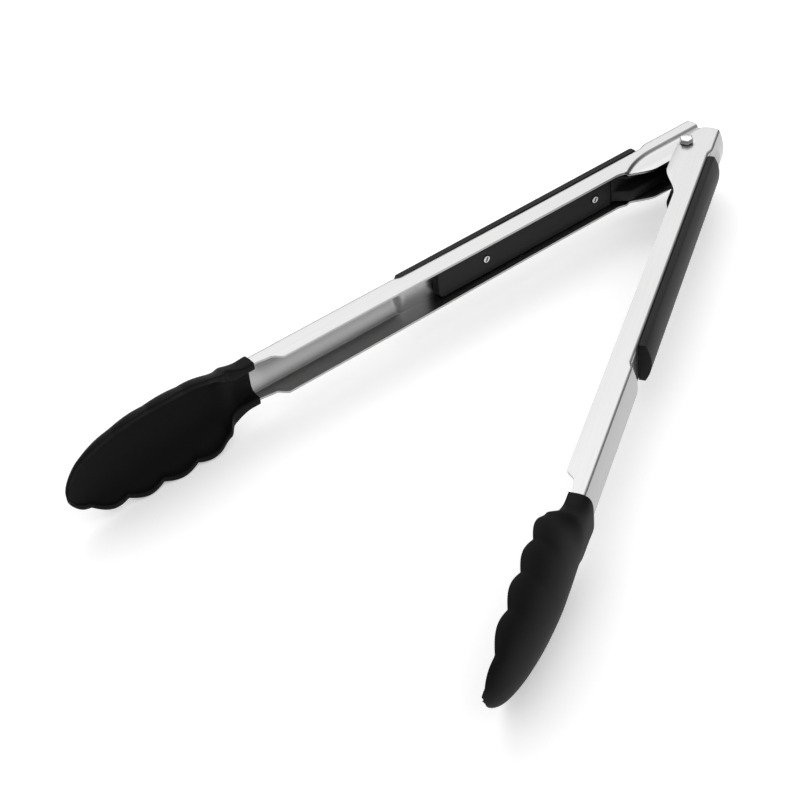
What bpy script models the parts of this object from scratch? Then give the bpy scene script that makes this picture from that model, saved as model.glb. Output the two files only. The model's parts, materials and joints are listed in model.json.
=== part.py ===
"""Spring loaded kitchen tongs with silicone heads, lying on one side and half open.

Two pressed steel channels cross at a pivot pin. The inner arm's ears are joggled so that
they lie inside the outer arm's ears, and a torsion spring on a bush pushes the arms apart.
Each arm carries a moulded grip outside, a moulded liner and a spring block inside, and a
scoop-shaped silicone head moulded over its end.

World frame: +Z up along the pivot axis, +X from the pivot to the heads, outer arm at +Y.
Every arm piece is drawn in its arm's own frame, in which u runs from the pivot to the head,
v runs from the pivot axis outwards to the channel's back, and z is zero at mid height.
"""
import math

import bmesh
import bpy
import numpy as np
from mathutils import Matrix

MM = 0.001
GAP = 0.3                    # clearance between pieces that touch

# Layout of the whole tool (millimetres from here on)
HALF_OPENING = math.radians(16.9)
PIVOT_X = -132.35            # pivot axis, from the middle of the tool's length
MID_HEIGHT = 18.92           # middle of the channels above the table
OUTER, INNER = 1, -1         # the side of the centre line that an arm lies on

# Pressed channels
SHEET = 0.9
CHANNEL_HALF_HEIGHT = 8.3
HEIGHT_GROWTH = 0.6
GROWTH_START_U, GROWTH_END_U = 60.0, 180.0
BACK_V = 11.5                # channel's back at its bends
BACK_CROWN = 1.85            # how far the back bulges at mid height
BEND_RADIUS = 1.2
EAR_END_U = -12.0
ARM_END_U = 218.3
FLANGE_EDGE_V = 2.5
NECK_EDGE_V = 5.7            # flange edge where the channel narrows before the head
NECK_START_U, NECK_END_U = 197.0, 201.5
NECK_NARROWING = 1.0
RECESS_DEPTH = 1.15          # seat pressed into the back for the grip
RECESS_START_U = {OUTER: -3.0, INNER: 7.5}
RECESS_END_U = 142.0
RECESS_ROUNDING = 5.0        # how much later the seat starts at the bends than at mid height
RECESS_RAMP = 4.0
JOGGLE_DROP = 1.2
JOGGLE_V = 6.7
JOGGLE_WIDTH = 1.3
JOGGLE_END_U = 31.0

# Silicone heads
HEAD_START_U, HEAD_TIP_U = 208.4, 291.7
COLLAR_HALF_WIDTH, COLLAR_BORE = 9.9, 6.6
FLARE_START_U, FLARE_END_U, FLARE = 212.0, 227.0, 5.3
BELLY_START_U, BELLY_END_U, BELLY = 224.0, 238.5, 2.4
HEAD_BACK_V, TIP_V = 14.15, 0.5
TAPER_START_U, TAPER_POWER = 250.7, 2.16
BACK_TAPER_START_U, BACK_TAPER_POWER = 243.0, 1.6
LOBE_PITCH, FIRST_VALLEY_U = 14.65, 239.2
LOBE_REACH, LOBE_FLARE = 1.45, 1.33
VALLEY_V, COLLAR_EDGE_V = 2.95, 6.0
COLLAR_SQUARENESS, HEAD_SQUARENESS = 4.1, 1.9
SQUARE_END_U, ROUND_START_U = 205.4, 227.6
HEAD_WALL = 2.2

# Grips, liners and spring blocks
GRIP_SPAN_U = {OUTER: (4.0, 128.5), INNER: (15.0, 138.6)}
GRIP_HALF_HEIGHT = 8.1
GRIP_TOP_V, GRIP_CROWN_V = 12.9, 15.2
LINER_START_U, LINER_END_U = 36.3, 124.6
LINER_HALF_HEIGHT = 6.9
LINER_FACE_V = 5.15
BLOCK_FACE_V = 0.5
BLOCK_HALF_HEIGHT = 5.9
SCREW_U = {"rear": 45.0, "front": 101.0}

# Pivot and spring
PIN_RADIUS, PIN_HOLE_RADIUS = 2.0, 2.25
PIN_HEAD_RADIUS, PIN_HEAD_HEIGHT = 2.65, 2.1
BUSH_RADIUS, BUSH_HALF_LENGTH = 3.0, 5.1
WASHER_RADIUS, WASHER_THICKNESS = 4.4, 0.5
SPRING_RADIUS, WIRE_RADIUS = 4.2, 0.65
SPRING_FULL_TURNS = 4
SPRING_HALF_LENGTH = 3.1
SPRING_LEG_LENGTH = 29.0


def clear_scene():
    for item in list(bpy.data.objects):
        bpy.data.objects.remove(item, do_unlink=True)


def material(name, colour, roughness, metallic):
    made = bpy.data.materials.new(name)
    made.use_nodes = True
    shader = made.node_tree.nodes["Principled BSDF"]
    shader.inputs["Base Color"].default_value = (*colour, 1.0)
    shader.inputs["Roughness"].default_value = roughness
    shader.inputs["Metallic"].default_value = metallic
    return made


def brushed_steel(name):
    return material(name, (0.74, 0.74, 0.73), 0.32, 1.0)


def polished_steel(name):
    return material(name, (0.82, 0.82, 0.82), 0.18, 1.0)


def spring_steel(name):
    return material(name, (0.42, 0.42, 0.43), 0.35, 1.0)


def black_plastic(name):
    return material(name, (0.022, 0.022, 0.023), 0.42, 0.0)


def black_silicone(name):
    return material(name, (0.030, 0.030, 0.031), 0.62, 0.0)


def white_nylon(name):
    return material(name, (0.78, 0.77, 0.72), 0.5, 0.0)


def smooth_step(start, end, value):
    t = np.clip((value - start) / (end - start), 0.0, 1.0)
    return t * t * (3.0 - 2.0 * t)


def place(mesh_object, side, finish):
    """Puts a piece drawn in its arm's frame on the pivot axis, turned to its arm."""
    mesh_object.location = (PIVOT_X * MM, 0.0, MID_HEIGHT * MM)
    mesh_object.rotation_euler = (0.0, 0.0, side * HALF_OPENING)
    mesh_object.data.materials.append(finish(mesh_object.name))


def new_object(name, mesh_data, sharp_angle=35.0):
    """Wraps a bmesh in millimetres as an object in metres, with its faces pointing out."""
    bmesh.ops.remove_doubles(mesh_data, verts=mesh_data.verts, dist=0.0005)
    bmesh.ops.recalc_face_normals(mesh_data, faces=mesh_data.faces)
    bmesh.ops.scale(mesh_data, vec=(MM, MM, MM), verts=mesh_data.verts)
    mesh = bpy.data.meshes.new(name)
    mesh_data.to_mesh(mesh)
    mesh_data.free()
    mesh.shade_smooth()
    mesh.set_sharp_from_angle(angle=math.radians(sharp_angle))
    made = bpy.data.objects.new(name, mesh)
    bpy.context.scene.collection.objects.link(made)
    return made


def loft_wall(rings, side):
    """Skins a wall whose every ring runs out along one face and back along the other."""
    shell = bmesh.new()
    rows = [[shell.verts.new((u, side * v, z)) for u, v, z in ring] for ring in rings]
    count = len(rows[0])
    for row, following in zip(rows, rows[1:]):
        for i in range(count):
            j = (i + 1) % count
            shell.faces.new((row[i], row[j], following[j], following[i]))
    for row in (rows[0], rows[-1]):
        for i in range(count // 2 - 1):
            shell.faces.new((row[i], row[i + 1], row[count - 2 - i], row[count - 1 - i]))
    return shell


def extrude_outline(outline, low_z, high_z, side):
    """Extrudes a closed outline of (u, v) points between two heights."""
    solid = bmesh.new()
    bottom = solid.faces.new([solid.verts.new((u, side * v, low_z)) for u, v in outline])
    raised = bmesh.ops.extrude_face_region(solid, geom=[bottom])
    moved = [item for item in raised["geom"] if isinstance(item, bmesh.types.BMVert)]
    bmesh.ops.translate(solid, verts=moved, vec=(0.0, 0.0, high_z - low_z))
    return solid


def cylinder(radius, low_z, high_z, segments=20):
    solid = bmesh.new()
    bmesh.ops.create_cone(solid, cap_ends=True, segments=segments, radius1=radius, radius2=radius,
                          depth=high_z - low_z)
    bmesh.ops.rotate(solid, verts=solid.verts, matrix=Matrix.Rotation(math.pi / segments, 3, "Z"))
    bmesh.ops.translate(solid, verts=solid.verts, vec=(0.0, 0.0, (low_z + high_z) / 2.0))
    return solid


def across_arm(solid, u, side):
    """Turns a shape drawn along z so that it runs along v, outwards, at a place on the arm."""
    bmesh.ops.rotate(solid, verts=solid.verts, matrix=Matrix.Rotation(-side * math.pi / 2, 3, "X"))
    bmesh.ops.translate(solid, verts=solid.verts, vec=(u, 0.0, 0.0))
    return solid


def bevel_edges(solid, width, segments=2):
    bmesh.ops.bevel(solid, geom=solid.edges, offset=width, segments=segments, profile=0.5,
                    affect="EDGES", clamp_overlap=True)
    return solid


def cut(target, name, cutter_mesh):
    """Cuts a shape away from a piece with a hidden cutter."""
    cutter = new_object("cutter_" + name, cutter_mesh)
    cutter.location = target.location
    cutter.rotation_euler = target.rotation_euler
    cutter.hide_render = True
    cutter.display_type = "WIRE"
    modifier = target.modifiers.new(name, "BOOLEAN")
    modifier.operation = "DIFFERENCE"
    modifier.solver = "EXACT"
    modifier.object = cutter
    return modifier


# Channels

def half_height(u):
    """Half the channel's height: it grows a little from the grip to the head."""
    return CHANNEL_HALF_HEIGHT + HEIGHT_GROWTH * smooth_step(GROWTH_START_U, GROWTH_END_U, u)


def flange_edge(u):
    """The free edge of a flange: a bulged ear at the pivot, and a neck before the head."""
    straight = FLANGE_EDGE_V - 0.2 * smooth_step(40.0, 190.0, u)
    ear_depth = (6.1 - 0.6 * smooth_step(12.0, 0.0, u)) * smooth_step(36.0, 19.0, u)
    end_round = 8.0 * (1.0 - math.sqrt(max(0.0, 1.0 - (min(u, 0.0) / 12.1) ** 2)))
    neck = (NECK_EDGE_V - FLANGE_EDGE_V + 0.2) * smooth_step(NECK_START_U, NECK_END_U, u)
    neck += NECK_NARROWING * smooth_step(NECK_END_U, HEAD_START_U, u)
    return straight - ear_depth + end_round + neck


def recess(side, u, height):
    """How much of the grip's seat is pressed in, from 0 to 1; its pivot end is rounded."""
    start_u = RECESS_START_U[side] + RECESS_ROUNDING * (height / CHANNEL_HALF_HEIGHT) ** 2
    start = smooth_step(start_u, start_u + RECESS_RAMP, u)
    return start * smooth_step(RECESS_END_U, RECESS_END_U - RECESS_RAMP, u)


def joggle_line(u):
    return JOGGLE_V - 5.1 * max(0.0, (u - 12.0) / (JOGGLE_END_U - 12.0)) ** 2.4


def upper_half_section(side, u):
    """The channel's outer face from the free edge of its upper flange to mid height."""
    edge = flange_edge(u)
    sunk = recess(side, u, CHANNEL_HALF_HEIGHT)
    bend_v = BACK_V - RECESS_DEPTH * sunk - BEND_RADIUS
    top_z = half_height(u)
    bend_z = top_z - BEND_RADIUS
    if side == INNER:
        step = joggle_line(u)
        drop = JOGGLE_DROP * min(1.0, max(0.0, (step - edge) / JOGGLE_WIDTH))
        outer_line = max(step, edge + 0.5)
        inner_line = max(step - JOGGLE_WIDTH, edge + 0.25)
        points = [(edge, top_z - drop), (inner_line, top_z - drop)]
        points.append((outer_line, top_z))
    else:
        points = [(edge, top_z)]
    points.append((bend_v, top_z))
    last_angle = math.radians(25.0) * (1.0 - sunk)
    for share in (1 / 3, 2 / 3, 1.0):
        angle = math.pi / 2 + (last_angle - math.pi / 2) * share
        points.append((bend_v + BEND_RADIUS * math.cos(angle), bend_z + BEND_RADIUS * math.sin(angle)))
    side_v, side_z = points[-1]
    for share in (0.66, 0.33, 0.0):
        local = recess(side, u, side_z * share)
        crown = BACK_CROWN * (1.0 - share * share) * (1.0 - local)
        points.append((side_v - RECESS_DEPTH * (local - sunk) + crown, side_z * share))
    return points


def offset_line(line, distance):
    """Moves an open line of points to its right by a distance."""
    line = np.array(line)
    steps = np.diff(line, axis=0)
    normals = np.stack([steps[:, 1], -steps[:, 0]], axis=1)
    normals /= np.linalg.norm(normals, axis=1)[:, None]
    joined = np.vstack([normals[:1], normals[:-1] + normals[1:], normals[-1:]])
    joined /= np.linalg.norm(joined, axis=1)[:, None]
    before = np.vstack([normals[:1], normals])
    reach = distance / np.clip(np.sum(joined * before, axis=1), 0.5, 1.0)
    return line + joined * reach[:, None]


def channel_ring(side, u, outer_offset=0.0, inner_offset=SHEET):
    """One cross-section of a channel: its outer face, then its inner face back again."""
    upper = upper_half_section(side, u)
    lower = [(v, -z) for v, z in reversed(upper[:-1])]
    middle = np.array(upper + lower)
    outside = offset_line(middle, -outer_offset)
    inside = offset_line(middle, inner_offset)
    ring = [(v, z) for v, z in outside] + [(v, z) for v, z in reversed(inside)]
    end_pull = smooth_step(0.0, EAR_END_U, u)
    return [(u + end_pull * 1.1 * ((v - 7.0) / 4.5) ** 2, v, z) for v, z in ring]


def arm_stations():
    """Places along the arm where its shape changes, closer together on its curves."""
    ear_end = [-12.0, -11.5, -10.5, -9.0, -7.0, -5.0, -3.0, -1.0, 1.0]
    ear = [3.0, 4.5, 6.5, 8.5, 12.0, 14.0, 16.5, 18.5]
    joggle_end = [20.5, 23.0, 25.0, 27.0, 28.5, 29.6, 30.4, 31.0, 32.5, 34.5, 37.0]
    grip_end = [60.0, 80.0, 103.0, 125.0, 138.0, 139.0, 140.0, 141.0, 142.0]
    neck = [169.0, 196.5, 198.3, 200.0, 202.0, 205.0, HEAD_START_U, ARM_END_U]
    return ear_end + ear + joggle_end + grip_end + neck


def arm(name, side):
    rings = [channel_ring(side, u) for u in arm_stations()]
    made = new_object(name, loft_wall(rings, side))
    place(made, side, brushed_steel)
    reach = CHANNEL_HALF_HEIGHT + 2.0
    cut(made, name + "_pin_hole", cylinder(PIN_HOLE_RADIUS, -reach, reach))
    for where, u in SCREW_U.items():
        hole = across_arm(cylinder(1.2, 8.0, 12.0, 12), u, side)
        cut(made, name + "_" + where + "_hole", hole)
    return made


# Heads

def head_half_width(u):
    flare = FLARE * smooth_step(FLARE_START_U, FLARE_END_U, u)
    belly = BELLY * smooth_step(BELLY_START_U, BELLY_END_U, u)
    taper = max(0.0, (u - TAPER_START_U) / (HEAD_TIP_U - TAPER_START_U)) ** TAPER_POWER
    return (COLLAR_HALF_WIDTH + flare + belly) * math.sqrt(max(0.0, 1.0 - taper))


def head_back(u):
    """The head's back comes forward to the free edge at the tip."""
    taper = max(0.0, (u - BACK_TAPER_START_U) / (HEAD_TIP_U - BACK_TAPER_START_U)) ** BACK_TAPER_POWER
    return TIP_V + (HEAD_BACK_V - TIP_V) * math.sqrt(max(0.0, 1.0 - taper))


def lobes(u):
    """Scallops along the free edge: 0 in a valley, 1 on a lobe."""
    wave = abs(math.sin(math.pi * (u - FIRST_VALLEY_U) / LOBE_PITCH))
    first_u = FIRST_VALLEY_U - LOBE_PITCH
    return wave * smooth_step(first_u - 2.0, first_u + 5.0, u)


def head_edge(u):
    collar = (COLLAR_EDGE_V - VALLEY_V) * smooth_step(224.0, 220.0, u)
    return VALLEY_V + collar - LOBE_REACH * lobes(u)


def head_wall(u):
    """Wall thickness: the collar is filled in to a bore smaller than the channel."""
    collar_wall = head_half_width(u) - COLLAR_BORE
    return collar_wall + (HEAD_WALL - collar_wall) * smooth_step(217.0, 226.0, u)


def head_curve(u, wall, count):
    """One face of the head's section, as a squarish arch from edge to edge."""
    rounding = smooth_step(SQUARE_END_U, ROUND_START_U, u)
    squareness = COLLAR_SQUARENESS + (HEAD_SQUARENESS - COLLAR_SQUARENESS) * rounding
    back = head_back(u) - wall
    edge = min(head_edge(u), back - 0.3)
    lean = LOBE_FLARE * lobes(u) * smooth_step(HEAD_TIP_U, 280.0, u)
    half_width = max(0.4, head_half_width(u) + lean - wall)
    points = []
    for i in range(count):
        angle = math.pi * i / (count - 1)
        across = math.copysign(abs(math.cos(angle)) ** (2.0 / squareness), math.cos(angle))
        deep = abs(math.sin(angle)) ** (2.0 / squareness)
        points.append((edge + (back - edge) * deep, half_width * across))
    return points


def head_ring(u):
    """The wall's outer face, its lower rim, its inner face and its upper rim."""
    inner_u = u - HEAD_WALL * smooth_step(270.0, HEAD_TIP_U, u)
    outside = [(u, v, z) for v, z in head_curve(u, 0.0, 15)]
    inside = [(inner_u, v, z) for v, z in reversed(head_curve(inner_u, head_wall(u), 15))]
    rim_v = min(outside[-1][1], inside[0][1]) - 0.4
    rim_z = (outside[-1][2] + inside[0][2]) / 2.0
    low_rim = ((u + inner_u) / 2.0, rim_v, rim_z)
    high_rim = (low_rim[0], rim_v, -rim_z)
    return outside + [low_rim, low_rim] + inside + [high_rim, high_rim]


def head(name, side):
    collar = [HEAD_START_U, 213.0, 216.0, 218.5, 220.5, 222.0, 223.5, 225.5, 227.5, 230.0]
    body = [230.0 + LOBE_PITCH * i / 6 for i in range(1, 23)]
    tip = [HEAD_TIP_U - back for back in (5.6, 3.9, 2.5, 1.4, 0.6, 0.15)]
    rings = [head_ring(u) for u in collar + body + tip]
    made = new_object(name, loft_wall([ring_as_wall(ring) for ring in rings], side), 50.0)
    place(made, side, black_silicone)
    sleeve = [channel_ring(side, u, GAP, SHEET + GAP) for u in (HEAD_START_U - 1.0, ARM_END_U + GAP)]
    sleeve_cut = cut(made, name + "_sleeve", loft_wall(sleeve, side))
    sleeve_cut.use_self = True
    return made


def ring_as_wall(ring):
    """Starts a head ring at its upper rim, so that the wall's two faces pair up."""
    return [ring[-1]] + ring[:-1]


# Grips, liners and spring blocks

def grip_ring(start, u, side):
    """Section of a grip: flat on the channel's back, with a crowned outer face."""
    from_start = u - start
    swell = math.sqrt(1.0 - (1.0 - min(1.0, from_start / 4.0)) ** 2)
    seat = BACK_V - RECESS_DEPTH + GAP
    side_z = GRIP_HALF_HEIGHT * max(0.25, swell)
    crown_z = 0.955 * side_z
    body = 0.3 + 0.7 * math.sqrt(1.0 - (1.0 - min(1.0, from_start / 5.0)) ** 2)
    top = seat + (GRIP_TOP_V - seat) * body
    crown = seat + (GRIP_CROWN_V - seat) * body
    shoulder = top + 0.55 * body
    upper = [(seat, side_z), (top, side_z), (shoulder, crown_z)]
    upper += [(crown - (crown - shoulder) * s * s, crown_z * s) for s in (0.75, 0.5, 0.25)]
    ring = upper + [(crown, 0.0)] + [(v, -z) for v, z in reversed(upper)]
    return [(u, side * v, z) for v, z in ring]


def grip(name, side):
    start, end = GRIP_SPAN_U[side]
    stations = [start + step for step in (0.05, 0.4, 1.2, 2.5, 4.0, 5.5, 7.0, 35.0, 65.0, 95.0)] + [end]
    solid = bmesh.new()
    rows = [[solid.verts.new(point) for point in grip_ring(start, u, side)] for u in stations]
    count = len(rows[0])
    for row, following in zip(rows, rows[1:]):
        for i in range(count):
            j = (i + 1) % count
            solid.faces.new((row[i], row[j], following[j], following[i]))
    solid.faces.new(rows[0])
    solid.faces.new(rows[-1])
    made = new_object(name, solid)
    place(made, side, black_plastic)
    for where, u in SCREW_U.items():
        pilot = across_arm(cylinder(1.1, 10.0, 13.4, 12), u, side)
        cut(made, name + "_" + where + "_pilot", pilot)
    return made


def liner(name, side):
    """Moulded strip inside the channel, held by two small screws."""
    seat = BACK_V - RECESS_DEPTH - SHEET - GAP
    outline = [(LINER_START_U, LINER_FACE_V), (LINER_END_U, LINER_FACE_V)]
    outline += [(LINER_END_U, seat), (LINER_START_U, seat)]
    solid = extrude_outline(outline, -LINER_HALF_HEIGHT, LINER_HALF_HEIGHT, side)
    bevel_edges(solid, 0.6)
    made = new_object(name, solid)
    place(made, side, black_plastic)
    for where, u in SCREW_U.items():
        hole = across_arm(cylinder(1.2, 4.0, 10.0, 12), u, side)
        counterbore = across_arm(cylinder(1.85, 4.0, 5.9, 16), u, side)
        cut(made, name + "_" + where + "_hole", hole)
        cut(made, name + "_" + where + "_counterbore", counterbore)
    return made


def spring_block(name, side):
    """Moulded block beside the spring, with a groove for the spring's leg."""
    seat = BACK_V - RECESS_DEPTH - SHEET - GAP
    hollow = 6.8
    start_angle = math.asin(BLOCK_FACE_V / hollow)
    end_angle = math.radians(62.0)
    arc = [start_angle + (end_angle - start_angle) * i / 5 for i in range(6)]
    outline = [(hollow * math.cos(a), hollow * math.sin(a)) for a in arc]
    outline += [(hollow * math.cos(end_angle), seat), (LINER_START_U - GAP, seat)]
    outline += [(LINER_START_U - GAP, LINER_FACE_V), (34.6, LINER_FACE_V - 0.4)]
    outline += [(30.4, BLOCK_FACE_V + 0.4), (29.0, BLOCK_FACE_V)]
    solid = extrude_outline(outline, -BLOCK_HALF_HEIGHT, BLOCK_HALF_HEIGHT, side)
    made = new_object(name, solid)
    place(made, side, black_plastic)
    groove_outline = [(-2.0, -3.0), (40.0, -3.0), (40.0, LINER_FACE_V), (-2.0, LINER_FACE_V)]
    low, high = (-5.0, 1.2) if side == OUTER else (-1.2, 5.0)
    cut(made, name + "_groove", extrude_outline(groove_outline, low, high, side))
    return made


def screw(name, side, u):
    """Small pan head screw through the liner and the channel into the grip."""
    solid = cylinder(1.55, LINER_FACE_V - 0.25, LINER_FACE_V + 0.45, 16)
    made = new_object(name, across_arm(solid, u, side))
    core = cylinder(0.85, LINER_FACE_V, 13.0, 12)
    shank = new_object("cutter_" + name + "_shank", across_arm(core, u, side))
    for item in (made, shank):
        place(item, side, polished_steel)
    shank.hide_render = True
    shank.display_type = "WIRE"
    joined = made.modifiers.new("shank", "BOOLEAN")
    joined.operation = "UNION"
    joined.solver = "EXACT"
    joined.object = shank
    return made


# Pivot and spring

def pivot_pin():
    """Shouldered pin with a faceted head, held by the cap on its lower end."""
    head_base = CHANNEL_HALF_HEIGHT + GAP
    tail = -head_base - 1.5
    top = head_base + PIN_HEAD_HEIGHT
    stations = [(0.0, tail), (PIN_RADIUS - 0.3, tail), (PIN_RADIUS, tail + 0.3)]
    stations += [(PIN_RADIUS, head_base), (PIN_HEAD_RADIUS, head_base)]
    stations += [(PIN_HEAD_RADIUS, top - 0.6), (PIN_HEAD_RADIUS - 0.5, top), (0.0, top)]
    return turned("pivot_pin", stations, 24, polished_steel)


def pin_cap():
    base = -CHANNEL_HALF_HEIGHT - GAP
    bore = PIN_RADIUS + 0.25
    stations = [(bore - 0.001, base - 1.8), (bore, base), (PIN_HEAD_RADIUS + 0.6, base)]
    stations += [(PIN_HEAD_RADIUS + 0.6, base - 2.0), (PIN_HEAD_RADIUS, base - 2.6), (0.0, base - 2.6)]
    stations = [(0.0, base - 1.8)] + stations
    return turned("pin_cap", stations, 24, polished_steel)


def turned(name, profile, segments, finish):
    """Turns a profile of (radius, z) points about the pivot axis."""
    solid = bmesh.new()
    angles = [2.0 * math.pi * i / segments for i in range(segments)]
    rings = []
    for radius, z in profile:
        if radius == 0.0:
            points = [(0.0, 0.0, z)]
        else:
            points = [(radius * math.cos(a), radius * math.sin(a), z) for a in angles]
        rings.append([solid.verts.new(point) for point in points])
    for ring, following in zip(rings, rings[1:]):
        for i in range(segments):
            j = (i + 1) % segments
            corners = [ring[i % len(ring)], ring[j % len(ring)], following[j % len(following)],
                       following[i % len(following)]]
            solid.faces.new(dict.fromkeys(corners))
    made = new_object(name, solid)
    place(made, OUTER, finish)
    return made


def tube(name, inner_radius, outer_radius, low_z, high_z, finish):
    profile = [(inner_radius, low_z), (outer_radius, low_z)]
    profile += [(outer_radius, high_z), (inner_radius, high_z)]
    return turned(name, profile + profile[:1], 20, finish)


def torsion_spring():
    """Coil round the bush, with one leg along each arm."""
    lower_angle = math.pi / 2 + HALF_OPENING
    upper_angle = 1.5 * math.pi - HALF_OPENING + 2.0 * math.pi * SPRING_FULL_TURNS
    steps = 84
    reaches = [SPRING_LEG_LENGTH * share for share in (1.0, 0.66, 0.33)]
    path = [leg_point(OUTER, reach, -SPRING_HALF_LENGTH) for reach in reaches]
    for i in range(steps + 1):
        angle = lower_angle + (upper_angle - lower_angle) * i / steps
        z = -SPRING_HALF_LENGTH + 2.0 * SPRING_HALF_LENGTH * i / steps
        path.append((SPRING_RADIUS * math.cos(angle), SPRING_RADIUS * math.sin(angle), z))
    path += [leg_point(INNER, reach, SPRING_HALF_LENGTH) for reach in reversed(reaches)]
    curve = bpy.data.curves.new("torsion_spring", "CURVE")
    curve.dimensions = "3D"
    curve.bevel_depth = WIRE_RADIUS * MM
    curve.bevel_resolution = 1
    curve.use_fill_caps = True
    spline = curve.splines.new("POLY")
    spline.points.add(len(path) - 1)
    for point, (x, y, z) in zip(spline.points, path):
        point.co = (x * MM, y * MM, z * MM, 1.0)
    made = bpy.data.objects.new("torsion_spring", curve)
    bpy.context.scene.collection.objects.link(made)
    made.location = (PIVOT_X * MM, 0.0, MID_HEIGHT * MM)
    curve.materials.append(spring_steel("torsion_spring"))
    return made


def leg_point(side, u, z):
    """A point on a spring leg, which leaves the coil along its arm."""
    cos_a, sin_a = math.cos(HALF_OPENING), side * math.sin(HALF_OPENING)
    v = side * SPRING_RADIUS
    return (u * cos_a - v * sin_a, u * sin_a + v * cos_a, z)


def build():
    clear_scene()
    for side, prefix in ((OUTER, "outer"), (INNER, "inner")):
        arm(prefix + "_arm", side)
        head(prefix + "_head", side)
        grip(prefix + "_grip", side)
        liner(prefix + "_liner", side)
        spring_block(prefix + "_spring_block", side)
        for where, u in SCREW_U.items():
            screw(prefix + "_" + where + "_screw", side, u)
    pivot_pin()
    pin_cap()
    tube("spring_bush", PIN_HOLE_RADIUS, BUSH_RADIUS, -BUSH_HALF_LENGTH, BUSH_HALF_LENGTH, white_nylon)
    low_z = BUSH_HALF_LENGTH + GAP
    high_z = low_z + WASHER_THICKNESS
    tube("upper_washer", PIN_HOLE_RADIUS, WASHER_RADIUS, low_z, high_z, white_nylon)
    tube("lower_washer", PIN_HOLE_RADIUS, WASHER_RADIUS, -high_z, -low_z, white_nylon)
    torsion_spring()


build()
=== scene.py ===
"""Spring loaded kitchen tongs with silicone heads: the finished look of every piece.

Each arm piece is drawn along its own arm, in millimetres: u from the pivot to the head, v from
the pivot outwards to the channel's back, z from mid height up. on_arm() puts it in the frame.
"""

import json
import math

import bpy
from mathutils import Matrix, Vector


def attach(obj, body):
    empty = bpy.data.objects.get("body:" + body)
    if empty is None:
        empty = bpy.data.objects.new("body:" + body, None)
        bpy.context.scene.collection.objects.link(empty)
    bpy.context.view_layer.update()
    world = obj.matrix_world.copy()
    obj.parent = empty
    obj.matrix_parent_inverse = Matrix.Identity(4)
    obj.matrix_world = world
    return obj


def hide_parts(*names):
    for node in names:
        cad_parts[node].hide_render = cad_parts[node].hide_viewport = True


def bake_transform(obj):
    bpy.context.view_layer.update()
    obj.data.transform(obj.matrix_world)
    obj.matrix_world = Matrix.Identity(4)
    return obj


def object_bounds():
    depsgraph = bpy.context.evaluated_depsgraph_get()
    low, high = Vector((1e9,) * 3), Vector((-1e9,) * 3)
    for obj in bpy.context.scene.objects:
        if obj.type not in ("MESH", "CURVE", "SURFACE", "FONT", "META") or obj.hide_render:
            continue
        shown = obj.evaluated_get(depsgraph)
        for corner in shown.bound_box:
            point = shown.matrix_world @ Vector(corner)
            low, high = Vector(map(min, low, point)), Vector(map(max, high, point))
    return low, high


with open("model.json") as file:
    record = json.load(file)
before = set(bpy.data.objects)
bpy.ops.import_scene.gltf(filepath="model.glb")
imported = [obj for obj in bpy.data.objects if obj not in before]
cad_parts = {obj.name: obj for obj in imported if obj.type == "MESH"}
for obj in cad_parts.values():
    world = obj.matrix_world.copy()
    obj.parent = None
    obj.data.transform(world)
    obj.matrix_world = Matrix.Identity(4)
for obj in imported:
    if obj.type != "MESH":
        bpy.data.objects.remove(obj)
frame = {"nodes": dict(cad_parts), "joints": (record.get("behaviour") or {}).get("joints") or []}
cad_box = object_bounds()


# ---------------------------------------------------------------------------------------------
# Studio: a white table top, a large soft light overhead and behind, and the camera.
# The table top is white and glows faintly, painted light with no lamp below it, so shadows stay
# pale.
# ---------------------------------------------------------------------------------------------

class Value:
    """A number running through a material; arithmetic on it adds the Math nodes."""

    def __init__(self, finish, socket):
        self.finish = finish
        self.socket = socket

    def maths(self, operation, first, second):
        return self.finish.node("ShaderNodeMath", {"operation": operation}, {0: first, 1: second})

    def __add__(self, other):
        return self.maths("ADD", self, other)

    def __radd__(self, other):
        return self.maths("ADD", other, self)

    def __sub__(self, other):
        return self.maths("SUBTRACT", self, other)

    def __rsub__(self, other):
        return self.maths("SUBTRACT", other, self)

    def __mul__(self, other):
        return self.maths("MULTIPLY", self, other)

    def __rmul__(self, other):
        return self.maths("MULTIPLY", other, self)


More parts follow.
